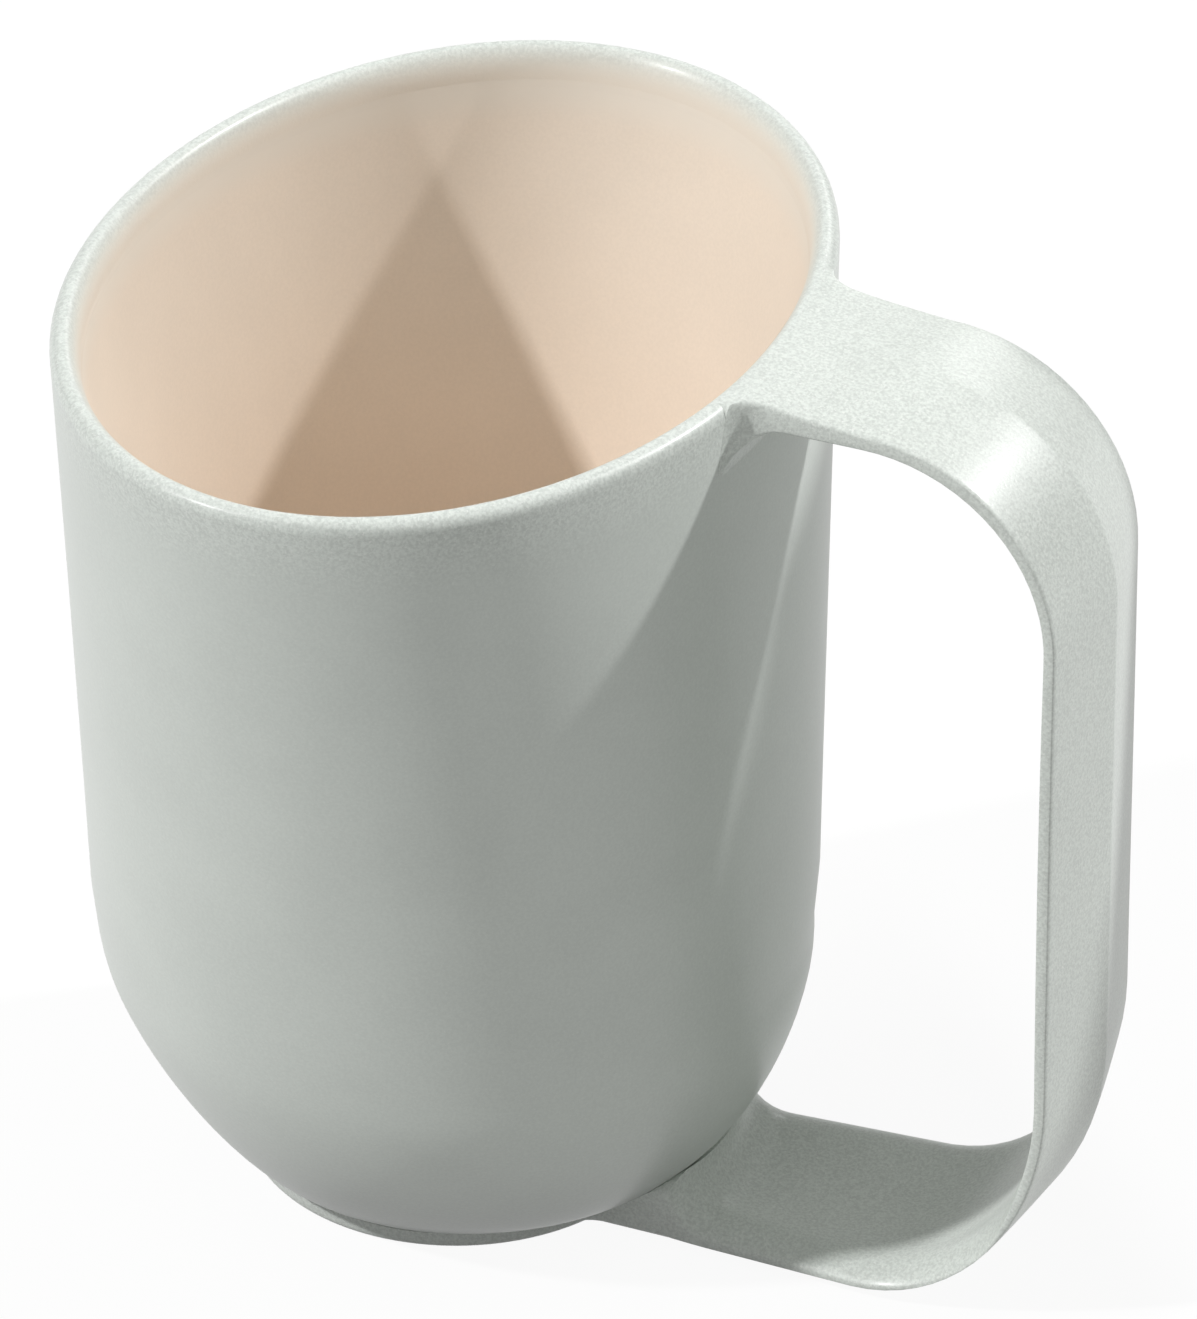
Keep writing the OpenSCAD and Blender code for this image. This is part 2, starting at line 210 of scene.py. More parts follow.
class CupFinish(bpy.types.PropertyGroup):
    """Colours and grain of the materials."""

    sage: colour("Sage", (0.64, 0.675, 0.64), "Colour of the shell and the handle")
    sage_fleck: colour("Sage fleck", (0.80, 0.82, 0.79), "Colour of the light flecks in the sage plastic")
    cream: colour("Cream", (0.78, 0.69, 0.595), "Colour of the drinking well")
    # Painted shade: a warmer cream towards the well's floor stands in for the warm light bounced about
    # the well's shaded depths.
    painted_shade_cream: colour("Deep cream", (0.8, 0.69, 0.582), "Colour of the drinking well towards its floor")
    pale: colour("Pale cream", (0.74, 0.735, 0.68), "Colour of the lip's inner side")
    foam: colour("Foam", (0.86, 0.81, 0.62), "Colour of the foam")
    steel: colour("Steel", (0.48, 0.49, 0.51), "Colour of the weight")
    rubber: colour("Rubber", (0.045, 0.048, 0.048), "Colour of the pad and the sealing ring")
    grain: length("Grain", 0.36, "Size of the fine grain in the sage plastic")
    grain_relief: length("Grain relief", 0.03, "Height of the fine grain")
    contrast: number("Grain contrast", 0.14, "Share by which the grain lightens and darkens the sage")
    sage_gloss: number("Sage roughness", 0.39, "Mean roughness of the sage plastic")


class CupStudio(bpy.types.PropertyGroup):
    """Camera and light."""

    azimuth: angle("Camera azimuth", 23.3, "Turn of the camera from the front towards the handle")
    elevation: angle("Camera elevation", 33.0, "Angle of the camera above the table")
    distance: length("Camera distance", 824.96, "Distance of the camera from its target")
    target_z: length("Target height", 55.0, "Height of the point that the camera turns about")
    focal_px: number("Focal length", 8000.0, "Focal length in pixels of the photograph")
    aside_px: number("Aside", -144.8, "Shift of the view to the right, in pixels of the photograph")
    above_px: number("Above", 27.2, "Shift of the view upwards, in pixels of the photograph")
    back_light: number("Back light", 2.3, "Strength of the light from behind the handle")
    front_light: number("Front light", 2.1, "Strength of the light from the front left")
    rim_light: number("Rim light", 0.2, "Strength of the low light from behind")
    fill_light: number("Fill light", 0.2, "Strength of the wide light from the front")
    light_size: angle("Light size", 3.0, "Angle that each light fills")
    rim_size: angle("Rim size", 14.0, "Angle that the rim light fills")
    fill_size: angle("Fill size", 50.0, "Angle that the fill light fills")
    sky: number("Sky", 0.33, "Strength of the soft light from above")
    sky_tint: colour("Sky tint", (0.985, 1.0, 0.97), "Colour of the soft light from all sides")
    bounce: number("Bounce", 0.4, "Strength of the soft light from below")
    floor_glow: number("Floor glow", 0.93, "Share of the floor's white that no shadow reaches")


# The camera: the photograph's long side in pixels, the film's width and how far it sees.
PHOTO_LONG_SIDE = 1319
SENSOR_MM = 36.0
VIEW_END = 50.0

# Where the lights shine from, and how far the soft light blends across the horizon.
BACK_LIGHT_FROM = Vector((0.569, 0.513, 0.643))
FRONT_LIGHT_FROM = Vector((-0.568, -0.460, 0.682))
RIM_LIGHT_FROM = Vector((-0.03, 0.92, 0.39))
FILL_LIGHT_FROM = Vector((-0.22, -0.91, 0.35))
HORIZON = 0.25

# The floor, the backdrop and the dark card under the cup.
WHITE = (1.0, 1.0, 1.0, 1.0)
PAPER = (0.9, 0.9, 0.9, 1.0)
BLACK = (0.05, 0.05, 0.05, 1.0)
FLOOR_SIZE = 6000 * MM
FLOOR_DROP = 0.1 * MM
WALL_RADIUS = 2900 * MM
CONTACT_RADIUS = 48 * MM
CONTACT_DROP = 0.2 * MM

# The flag, in millimetres aside and above as seen along the back light: its plain edge, and the two
# reaches between which the teeth of its feathered edge run.
FLAG_DISTANCE = 220 * MM
FLAG_EDGE = ((-29, 46), (-33, 37), (-40, 24), (-44, 8), (-50, -8), (-57, -24), (-60, -40))
FLAG_FEATHER = (-4, 36)
FLAG_TEETH = 40


class Value:
    """A socket in a node tree. Arithmetic on it adds Math nodes."""

    def __init__(self, tree, socket):
        self.tree = tree
        self.socket = socket

    def math(self, operation, first, second):
        """Adds one Math node."""
        return self.tree.node("ShaderNodeMath", {"operation": operation}, {0: first, 1: second})

    def __add__(self, other):
        return self.math("ADD", self, other)

    def __radd__(self, other):
        return self.math("ADD", other, self)

    def __sub__(self, other):
        return self.math("SUBTRACT", self, other)

    def __rsub__(self, other):
        return self.math("SUBTRACT", other, self)

    def __mul__(self, other):
        return self.math("MULTIPLY", self, other)

    def __rmul__(self, other):
        return self.math("MULTIPLY", other, self)


class Tree:
    """A node tree that is written as expressions."""

    def __init__(self, tree):
        self.tree = tree
        tree.nodes.clear()

    def node(self, kind, settings=None, sockets=None, output=0):
        """Adds a node, applies its settings, fills its sockets and returns one of its outputs."""
        node = self.tree.nodes.new(kind)
        for key, setting in (settings or {}).items():
            setattr(node, key, setting)
        for key, given in (sockets or {}).items():
            if isinstance(given, Value):
                self.tree.links.new(given.socket, node.inputs[key])
            else:
                node.inputs[key].default_value = given
        return Value(self, node.outputs[output]) if node.outputs else None

    def place(self):
        """Object coordinates, in metres."""
        return self.node("ShaderNodeTexCoord", output="Object")

    def noise(self, place, size, detail=2.0, roughness=0.5):
        """Noise with cells of about the given size, from 0 to 1."""
        return self.node(
            "ShaderNodeTexNoise", {"noise_dimensions": "3D"},
            {"Vector": place, "Scale": 1.0 / size, "Detail": detail, "Roughness": roughness},
        )

    def span(self, value, low, high, to_low=0.0, to_high=1.0):
        """Smooth step of a value from one range to another."""
        return self.node(
            "ShaderNodeMapRange", {"interpolation_type": "SMOOTHSTEP"},
            {"Value": value, "From Min": low, "From Max": high, "To Min": to_low, "To Max": to_high},
        )

    def stretched(self, noise):
        """Noise with its usual range stretched to run from 0 to 1."""
        return self.span(noise, NOISE_LOW, NOISE_HIGH)

    def blend(self, share, first, second):
        """Mix of two colours."""
        first, second = (c if isinstance(c, Value) else (*c, 1.0) for c in (first, second))
        return self.node(
            "ShaderNodeMix", {"data_type": "RGBA"}, {"Factor": share, 6: first, 7: second}, output=2
        )

    def relief(self, height, depth, strength=1.0):
        """Bump of the given depth."""
        return self.node(
            "ShaderNodeBump", None, {"Height": height, "Distance": depth, "Strength": strength}
        )

    def surface(self, **sockets):
        """Closes the material with a Principled shader."""
        named = {key.replace("_", " "): given for key, given in sockets.items()}
        shader = self.node("ShaderNodeBsdfPrincipled", None, named)
        self.node("ShaderNodeOutputMaterial", None, {"Surface": shader})


def new_material(name):
    """An empty material and its tree."""
    material = bpy.data.materials.new(name)
    material.use_nodes = True
    return material, Tree(material.node_tree)


def rim_tone(finish):
    """Colour just under the lip, between the pale lip and the cream well."""
    return [0.35 * pale + 0.65 * cream for pale, cream in zip(finish.pale, finish.cream)]


def sage_plastic(finish, name, grain_share, lip_z):
    """Satin sage plastic with a fine light fleck, strongest at the lip, and warming inside it."""
    material, tree = new_material(name)
    place = tree.place()
    height = tree.node("ShaderNodeSeparateXYZ", None, {"Vector": place}, output="Z")
    strong = tree.span(height, lip_z - GRAIN_FADE, lip_z, grain_share, 1.0)
    fine = tree.noise(place, finish.grain, 2.0, 0.6)
    spark = tree.noise(place, 0.7 * finish.grain, 1.0)
    cloud = tree.noise(place, 14 * MM, 3.0)
    grained = (tree.stretched(fine) - 0.5) * strong * 0.8
    shade = 0.5 + grained + (tree.stretched(cloud) - 0.5) * 0.15
    dark, light = ([c * (1 + side * finish.contrast) for c in finish.sage] for side in (-1, 1))
    tone = tree.blend(shade, dark, light)
    flecked = tree.blend(tree.span(spark, 0.58, 0.74) * strong * 0.7, tone, finish.sage_fleck)
    warm = tree.node("ShaderNodeAttribute", {"attribute_name": "inside_lip"}, output="Fac")
    paling = tree.blend(warm, flecked, finish.pale)
    tree.surface(
        Base_Color=tree.blend(tree.span(warm, 0.3, 1.0), paling, rim_tone(finish)),
        Roughness=finish.sage_gloss + (fine - 0.5) * strong * 0.3 + (cloud - 0.5) * 0.08,
        Normal=tree.relief(fine * strong, finish.grain_relief, 0.6),
        Coat_Weight=0.08,
        Coat_Roughness=0.18,
        Specular_IOR_Level=0.4,
    )
    return material


def cream_plastic(finish, lip_z):
    """Satin cream plastic, paler close to the lip, and with a painted shade that makes it warmer towards
    the floor of the well.
    """
    material, tree = new_material("cream_plastic")
    place = tree.place()
    height = tree.node("ShaderNodeSeparateXYZ", None, {"Vector": place}, output="Z")
    cloud = tree.noise(place, 16 * MM, 3.0)
    fine = tree.noise(place, finish.grain, 2.0, 0.6)
    near_lip = tree.span(height, lip_z - PALE_DEPTH, lip_z)
    # Painted shade: the share of the warmer cream rises towards the well's floor, in place of the warm
    # light bounced in its shaded depths.
    painted_shade_share = tree.span(height, lip_z - PAINTED_SHADE_END, lip_z - PAINTED_SHADE_START, 1.0, 0.0)
    shade = tree.stretched(cloud) * 0.5 + tree.stretched(fine) * 0.5
    dark, light = (
        tree.blend(painted_shade_share, [c * share for c in finish.cream], [c * share for c in finish.painted_shade_cream])
        for share in (0.965, 1.035)
    )
    tree.surface(
        Base_Color=tree.blend(near_lip, tree.blend(shade, dark, light), rim_tone(finish)),
        Roughness=0.42 + (fine - 0.5) * 0.12 + (cloud - 0.5) * 0.08,
        Normal=tree.relief(fine, finish.grain_relief * 0.6, 0.2),
        IOR=1.47,
    )
    return material


def silicone(finish):
    """Matte cream silicone with a dusty sheen of tone."""
    material, tree = new_material("cream_silicone")
    place = tree.place()
    dust = tree.noise(place, 1.2 * MM, 4.0)
    tree.surface(
        Base_Color=tree.blend(dust, [c * 0.98 for c in rim_tone(finish)], rim_tone(finish)),
        Roughness=0.5 + dust * 0.2,
        Normal=tree.relief(dust, 0.01 * MM, 0.3),
    )
    return material


def closed_cell_foam(finish):
    """Foam of small closed cells."""
    material, tree = new_material("closed_cell_foam")
    place = tree.place()
    cell_size = 0.8 * MM
    cell = tree.node("ShaderNodeTexVoronoi", {"feature": "F1"}, {"Vector": place, "Scale": 1 / cell_size})
    cloud = tree.noise(place, 6 * MM, 3.0)
    shade = tree.span(cell, 0.0, 0.8) * 0.7 + cloud * 0.3
    tree.surface(
        Base_Color=tree.blend(shade, finish.foam, [c * 0.72 for c in finish.foam]),
        Roughness=0.85 + cloud * 0.1,
        Normal=tree.relief(1 - cell, 0.2 * MM, 0.6),
    )
    return material


def turned_steel(finish):
    """Steel with the fine rings that turning leaves."""
    material, tree = new_material("turned_steel")
    place = tree.place()
    rings = tree.node("ShaderNodeTexWave", {"wave_type": "RINGS", "rings_direction": "Z"},
                      {"Vector": place, "Scale": 900.0, "Distortion": 0.6, "Detail": 2.0}, output="Fac")
    stain = tree.noise(place, 7 * MM, 4.0)
    tree.surface(
        Base_Color=tree.blend(stain, finish.steel, [c * 0.82 for c in finish.steel]),
        Metallic=1.0,
        Roughness=0.26 + rings * 0.08 + stain * 0.1,
        Normal=tree.relief(rings, 0.01 * MM, 0.4),
    )
    return material


def soft_rubber(finish, name, grain):
    """Dark rubber with a dusty moulded grain."""
    material, tree = new_material(name)
    place = tree.place()
    dust = tree.noise(place, grain, 4.0, 0.6)
    tree.surface(
        Base_Color=tree.blend(dust, finish.rubber, [c * 2.2 for c in finish.rubber]),
        Roughness=0.62 + dust * 0.25,
        Normal=tree.relief(dust, 0.03 * MM, 0.5),
    )
    return material


def half_size(z, heights, sizes, power):
    """Half size of a wall at height z: a dome from the first size to the second, then straight up."""
    base, shoulder, top = heights
    if z <= shoulder:
        share = max(0.0, 1 - ((shoulder - z) / (shoulder - base)) ** power) ** (1 / power)
        return sizes[0] + (sizes[1] - sizes[0]) * share
    return sizes[1] + (sizes[2] - sizes[1]) * (z - shoulder) / (top - shoulder)


def dome_heights(low, high, power):
    """Heights that follow a dome's curve evenly."""
    turns = [math.pi / 2 * k / DOME_STEPS for k in range(DOME_STEPS + 1)]
    return [high - (high - low) * math.cos(turn) ** (2 / power) for turn in turns]


def wall_heights(low, high):
    """Heights of a wall above its dome, without the lowest."""
    return [low + (high - low) * k / WALL_STEPS for k in range(1, WALL_STEPS + 1)]


def cup_ring(sizes, foot_h, z, inset=0.0):
    """Ring of the cup's outer face, moved in by an inset. The shoulder is softened by averaging."""
    heights = (foot_h, sizes.shoulder_z, sizes.height)
    near = SHOULDER_SOFT * max(0.0, 1 - abs(z - sizes.shoulder_z) / SHOULDER_REACH)
    samples = range(-SHOULDER_SAMPLES, SHOULDER_SAMPLES + 1)
    levels = [z + near * k / SHOULDER_SAMPLES for k in samples]

    def half(mouth):
        """Half size that leads up to a mouth of the given size."""
        ends = (sizes.base_d / 2, sizes.shoulder_d / 2, mouth / 2)
        return sum(half_size(level, heights, ends, sizes.dome_power) for level in levels) / len(levels)

    return Ring(z, half(sizes.mouth_width) - inset, half(sizes.mouth_length) - inset)


def dome_swell(sizes, foot_h, z, around):
    """How much fuller the dome is in a direction around the cup than away from the handle."""
    heights = (foot_h, sizes.shoulder_z, sizes.height)
    ends = (sizes.base_d / 2, sizes.shoulder_d / 2, sizes.mouth_width / 2)
    facing = max(0.0, math.cos(around)) ** 2
    power = sizes.dome_power + (sizes.dome_handle_power - sizes.dome_power) * facing
    return half_size(z, heights, ends, power) / half_size(z, heights, ends, sizes.dome_power)


def lip_ring(sizes, foot_h, turn):
    """Ring of the rolled lip, from its outer face over its crest, a quarter turn on, to its ledge."""
    r = sizes.lip_t / 2
    depth = r if turn < math.pi / 2 else sizes.lip_h
    z = sizes.height - depth + depth * math.sin(turn)
    return cup_ring(sizes, foot_h, z, r - r * math.cos(turn))


def start_piece(name, ring):
    """Adds a circle, fits it to a piece's first ring and leaves it selected in edit mode."""
    bpy.ops.object.select_all(action="DESELECT")
    bpy.ops.mesh.primitive_circle_add(vertices=RING_POINTS, radius=1.0, enter_editmode=True)
    piece = bpy.context.object
    piece.name = piece.data.name = name
    bpy.ops.transform.resize(value=(ring.x, ring.y, 1.0), center_override=(0, 0, 0))
    bpy.ops.transform.translate(value=(0, 0, ring.z))
    return piece


def extrude_rings(rings):
    """Extrudes the selected ring through a list of rings that starts with it."""
    for now, new in zip(rings, rings[1:]):
        bpy.ops.mesh.extrude_edges_move(TRANSFORM_OT_translate={"value": (0, 0, new.z - now.z)})
        bpy.ops.transform.resize(value=(new.x / now.x, new.y / now.y, 1.0), center_override=(0, 0, 0))


def select_verts(piece, wanted):
    """Selects the vertices whose place is wanted, with the edges between them."""
    bpy.ops.mesh.select_mode(type="VERT")
    bpy.ops.mesh.select_all(action="DESELECT")
    mesh = bmesh.from_edit_mesh(piece.data)
    for vert in mesh.verts:
        if wanted(vert.co):
            vert.select_set(True)
    mesh.select_flush(True)
    bmesh.update_edit_mesh(piece.data)


def select_rings(piece, *places):
    """Selects whole rings by their order in the piece."""
    bpy.ops.mesh.select_all(action="DESELECT")
    mesh = bmesh.from_edit_mesh(piece.data)
    mesh.verts.ensure_lookup_table()
    count = len(mesh.verts) // RING_POINTS
    for place in places:
        first = (place % count) * RING_POINTS
        for vert in mesh.verts[first:first + RING_POINTS]:
            vert.select_set(True)
    mesh.select_flush(True)
    bmesh.update_edit_mesh(piece.data)


def cap_ends(piece):
    """Closes the first and the last ring of a piece with flat faces."""
    for place in (0, -1):
        select_rings(piece, place)
        bpy.ops.mesh.edge_face_add()


def smooth_piece():
    """Merges the doubles of the piece in edit mode, turns its faces outwards and shades it smooth."""
    bpy.ops.mesh.select_all(action="SELECT")
    bpy.ops.mesh.remove_doubles(threshold=DOUBLES)
    bpy.ops.mesh.normals_make_consistent(inside=False)
    bpy.ops.object.mode_set(mode="OBJECT")
    bpy.ops.object.shade_smooth_by_angle(angle=CREASE_ANGLE)


def hand_over(piece, material, node):
    """Gives a piece its finish and its place in the frame."""
    piece.data.materials.clear()
    piece.data.materials.append(material)
    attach(piece, BODY)
    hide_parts(node)


class CUP_OT_shell(bpy.types.Operator):
    """Models the outer shell with its dome, oval wall and rolled lip"""

    bl_idname = "cup.shell"
    bl_label = "Outer shell"

    def execute(self, context):
        sizes = context.scene.cup_sizes
        foot_h = context.scene.cup_handle.foot_h
        lip_r = sizes.lip_t / 2
        ledge_z = sizes.height - sizes.lip_h
        flange_z = foot_h + sizes.flange_h
        bore = sizes.bore_d / 2
        outside = dome_heights(foot_h, sizes.shoulder_z, sizes.dome_power)
        outside += wall_heights(sizes.shoulder_z, sizes.height - lip_r)
        inside = [z for z in reversed(outside) if flange_z < z < ledge_z]
        slope = sizes.dome_wall_growth / (sizes.shoulder_z - foot_h)

        def wall(z):
            """Thickness of the wall, which grows down the dome."""
            return sizes.shell_t * (1 + slope * max(0.0, sizes.shoulder_z - z))

        rings = [cup_ring(sizes, foot_h, z) for z in outside]
        rings += [lip_ring(sizes, foot_h, math.pi * k / LIP_STEPS) for k in range(1, LIP_STEPS + 1)]
        lip_end = len(rings)
        rings += [cup_ring(sizes, foot_h, ledge_z, sizes.shell_t)]
        rings += [cup_ring(sizes, foot_h, z, wall(z)) for z in [*inside, flange_z]]
        rings += [Ring(flange_z, bore, bore), Ring(foot_h, bore, bore)]

        shell = start_piece("outer_shell_smooth", rings[0])
        extrude_rings(rings)

        # Marks how far each ring lies inside the lip, and fills the dome out under the handle.
        mesh = bmesh.from_edit_mesh(shell.data)
        warmth = mesh.verts.layers.float.new("inside_lip")
        mesh.verts.ensure_lookup_table()
        crest = len(outside) + LIP_STEPS // 2
        for k, vert in enumerate(mesh.verts):
            ring = k // RING_POINTS
            share = (ring - crest + 1) / (lip_end - crest)
            vert[warmth] = min(1.0, max(0.0, share))
            if foot_h < vert.co.z < sizes.shoulder_z and ring < len(rings) - 2:
                swell = dome_swell(sizes, foot_h, vert.co.z, math.atan2(vert.co.y, vert.co.x))
                vert.co.x *= swell
                vert.co.y *= swell
        bmesh.update_edit_mesh(shell.data)

        select_rings(shell, 0, -1)
        bpy.ops.mesh.bridge_edge_loops()
        smooth_piece()
        hand_over(shell, bpy.data.materials["sage_shell"], "outer_shell")
        return {"FINISHED"}


def well_rings(sizes, foot_h, wall, heights):
    """Rings of the liner's face that lies one wall outside the well."""
    ledge_z = sizes.height - sizes.lip_h
    ledge = cup_ring(sizes, foot_h, ledge_z, sizes.lip_t)
    half_floor, half_bowl = sizes.well_floor_d / 2, sizes.well_bowl_d / 2 + wall
    spans = [(half_floor, half_bowl, mouth + wall) for mouth in (ledge.x, ledge.y)]
    levels = (sizes.well_z - wall, sizes.well_z + sizes.well_bowl_h, ledge_z)
    return [Ring(z, *(half_size(z, levels, span, sizes.well_power) for span in spans)) for z in heights]


class CUP_OT_liner(bpy.types.Operator):
    """Models the inner liner, a tapered well with a round bowl"""

    bl_idname = "cup.liner"
    bl_label = "Inner liner"

    def execute(self, context):
        sizes = context.scene.cup_sizes
        foot_h = context.scene.cup_handle.foot_h
        top_z = sizes.height - sizes.lip_h - sizes.seal_h
        bowl_z = sizes.well_z + sizes.well_bowl_h

        def heights(floor_z):
            """Heights of one of the liner's faces, from its floor up."""
            return dome_heights(floor_z, bowl_z, sizes.well_power) + wall_heights(bowl_z, top_z)

        rings = well_rings(sizes, foot_h, sizes.liner_t, heights(sizes.well_z - sizes.liner_t))
        rings += well_rings(sizes, foot_h, 0.0, reversed(heights(sizes.well_z)))
        liner = start_piece("inner_liner_smooth", rings[0])
        extrude_rings(rings)
        cap_ends(liner)
        smooth_piece()
        hand_over(liner, bpy.data.materials["cream_plastic"], "inner_liner")
        return {"FINISHED"}


class CUP_OT_seal(bpy.types.Operator):
    """Models the flat seal between the lip's ledge and the liner"""

    bl_idname = "cup.seal"
    bl_label = "Rim seal"

    def execute(self, context):
        sizes = context.scene.cup_sizes
        foot_h = context.scene.cup_handle.foot_h
        ledge_z = sizes.height - sizes.lip_h
        heights = (ledge_z, ledge_z - sizes.seal_h)
        rings = well_rings(sizes, foot_h, 0.0, heights)
        rings += well_rings(sizes, foot_h, sizes.liner_t, reversed(heights))
        seal = start_piece("rim_seal_smooth", rings[0])
        extrude_rings(rings)
        select_rings(seal, 0, -1)
        bpy.ops.mesh.bridge_edge_loops()
        smooth_piece()
        hand_over(seal, bpy.data.materials["cream_silicone"], "rim_seal")
        return {"FINISHED"}


def fillet(distance, radius):
    """Growth of a concave fillet at a distance from the wall."""
    reach = min(radius, max(0.0, radius - distance))
    return radius - math.sqrt(radius * radius - reach * reach)


def fillet_steps(radius):
    """Distances from the wall that space a fillet's arc evenly."""
    return [radius * (1 - math.cos(math.pi / 2 * k / FILLET_STEPS)) for k in range(FILLET_STEPS + 1)]


def waisted(share, lip, middle, low):
    """Size of the ribbon at a share of its height, slimmest half-way up."""
    away = 2 * share - 1
    return middle + ((lip if away > 0 else low) - middle) * away * away


def fall_back(y, half_x, half_y):
    """How far an oval wall falls back from its nearest point at y."""
    return half_x * (1 - math.sqrt(max(0.0, 1 - (y / half_y) ** 2)))


def eased(share):
    """Smooth step from 0 to 1."""
    share = min(1.0, max(0.0, share))
    return share * share * (3 - 2 * share)


def ribbon_stations(sizes, handle):
    """Places and sizes of the ribbon's section, from the lip round the grip and in under the cup."""
    top_z = sizes.height - handle.drop
    root_x = sizes.mouth_width / 2
    lip_r = sizes.lip_t / 2
    run = handle.reach_top - handle.top_bend_r - root_x
    stations = []

    # A small first section, hidden inside the lip, carries the ribbon's end face.
    hidden_z, hidden_w = sizes.height - lip_r, handle.top_w / 6
    stations.append(Station(root_x - lip_r, hidden_z, 0.0, hidden_w, lip_r, 0.0, CROWN_POWER, 0.0, 0.0))
    blend_run = handle.root_fillet + ROOT_BLEND
    inside_lip = [-lip_r, -0.7 * lip_r, -0.35 * lip_r]
    for out in [*inside_lip, *fillet_steps(handle.root_fillet), blend_run, (blend_run + run) / 2]:
        low = fillet(out, handle.root_fillet)
        high = fillet(out, handle.root_top_fillet)
        rise = (handle.drop - LIP_FLUSH) * (1 - eased((out + lip_r) / (blend_run + lip_r)))
        ridge = handle.ridge_top_h * max(0.0, out) / run
        stations.append(Station(root_x + out, top_z + rise, 0.0, handle.top_w / 2 + high,
                                handle.top_t + low + rise, ridge, CROWN_POWER, 0.0, low - high))

    def sized(x, z, turn):
        """Station of the bends and the grip."""
        share = (z - handle.lift) / (top_z - handle.lift)
        half_w = waisted(share, handle.top_w, handle.mid_w, handle.low_w) / 2
        t = waisted(share, handle.top_t, handle.mid_t, handle.foot_t)
        steep = math.sin(turn) ** 2
        above = turn < math.pi / 2
        end_h = handle.ridge_top_h if above else handle.ridge_low_h
        crown = 1 - eased(RIDGE_ONSET * steep) if above else 0.0
        power = RIDGE_POWER + (CROWN_POWER - RIDGE_POWER) * crown
        soft = 0.0 if above else handle.soft_edge * eased(2 - 2 * steep)
        return Station(x, z, turn, half_w, t, end_h + (handle.ridge_h - end_h) * steep, power, soft, 0.0)

    r = handle.top_bend_r
    for k in range(BEND_STEPS + 1):
        turn = math.pi / 2 * k / BEND_STEPS
        x = handle.reach_top - r + r * math.sin(turn)
        stations.append(sized(x, top_z - r + r * math.cos(turn), turn))

    grip_top, grip_low = stations[-1], handle.lift + handle.low_bend_z
    lean = math.atan2(handle.reach_foot - handle.reach_top, grip_top.z - grip_low)
    for k in range(1, WALL_STEPS):
        share = k / WALL_STEPS
        x = grip_top.x + (handle.reach_foot - grip_top.x) * share
        stations.append(sized(x, grip_top.z + (grip_low - grip_top.z) * share, math.pi / 2 - lean))

    for k in range(BEND_STEPS + 1):
        down = math.pi / 2 * k / BEND_STEPS
        x = handle.reach_foot - handle.low_bend_x * (1 - math.cos(down))
        z = grip_low - handle.low_bend_z * math.sin(down)
        slope = math.atan2(math.sin(down) / handle.low_bend_z, math.cos(down) / handle.low_bend_x)
        stations.append(sized(x, z, math.pi / 2 + slope))
    return stations


def scoop_x_of(sizes, handle):
    """Reach of the dome under the handle at the height where the scoop's fillet ends."""
    z = handle.lift + handle.foot_t + handle.scoop_fillet
    return cup_ring(sizes, handle.foot_h, z).x * dome_swell(sizes, handle.foot_h, z, 0.0)


def foot_stations(sizes, handle):
    """Places and sizes of the ribbon's section from the bottom bend to its end inside the foot."""
    scoop_x = scoop_x_of(sizes, handle)
    bend_end = handle.reach_foot - handle.low_bend_x
    half_foot, half_low = handle.foot_w / 2, handle.low_w / 2
    foot_r = sizes.base_d / 2 + handle.foot_step
    r = handle.foot_fillet
    fillet_x = math.sqrt((foot_r + r) ** 2 - (half_foot + r) ** 2)
    meet_x = fillet_x * foot_r / (foot_r + r)

    def station(x):
        """Station of the run under the cup."""
        near = min(1.0, (bend_end - x) / (bend_end - scoop_x))
        half_w = half_low + (half_foot - half_low) * near
        edge_x = x - near * fall_back(half_w, scoop_x, scoop_x)
        into = min(fillet_x - meet_x, max(0.0, fillet_x - edge_x))
        half_w += r - math.sqrt(r * r - into * into)
        t = handle.foot_t + fillet(x - scoop_x, handle.scoop_fillet)
        ridge = handle.ridge_low_h * (1 - near)
        return Station(x, handle.lift, math.pi, half_w, t, ridge, RIDGE_POWER, handle.soft_edge, 0.0)

    first = scoop_x + handle.scoop_fillet
    places = [bend_end + (first - bend_end) * k / 3 for k in (1, 2)]
    places += [scoop_x + out for out in reversed(fillet_steps(handle.scoop_fillet))]
    places += [scoop_x + (meet_x - scoop_x) * k / UNDER_STEPS for k in range(1, UNDER_STEPS + 1)]
    return [station(x) for x in places]


def draw_section(handle, first):
    """Draws the ribbon's rounded section at its first station and leaves it selected in edit mode."""
    bpy.ops.object.select_all(action="DESELECT")
    bpy.ops.mesh.primitive_plane_add(size=1.0, rotation=(0, math.pi / 2, 0))
    ribbon = bpy.context.object
    bpy.ops.object.transform_apply(location=True, rotation=True, scale=True)
    bpy.ops.object.mode_set(mode="EDIT")
    half_w, t = handle.top_w / 2, handle.top_t
    bpy.ops.transform.resize(value=(1.0, 2 * half_w, t), center_override=(0, 0, 0))
    bpy.ops.transform.translate(value=(0, 0, -t / 2))

    for level in (0.0, -t):
        select_verts(ribbon, lambda place: abs(place.z - level) < TINY)
        bpy.ops.mesh.subdivide(number_cuts=RIBBON_CUTS)
    select_verts(ribbon, lambda place: abs(place.y) < TINY and place.z > -TINY)
    bpy.ops.mesh.bevel(offset=half_w / RIBBON_CUTS, segments=RIDGE_SEGMENTS, affect="VERTICES")
    select_verts(ribbon, lambda place: abs(place.y) > half_w - TINY)
    bpy.ops.mesh.bevel(offset=handle.edge_r, segments=EDGE_SEGMENTS, affect="VERTICES")
    bpy.ops.mesh.select_all(action="SELECT")
    bpy.ops.mesh.delete(type="ONLY_FACE")
    bpy.ops.mesh.select_all(action="SELECT")
    bpy.ops.transform.resize(value=(1.0, first.half_w / half_w, first.t / t), center_override=(0, 0, 0))
    bpy.ops.transform.translate(value=(first.x, 0, first.z))
    return ribbon


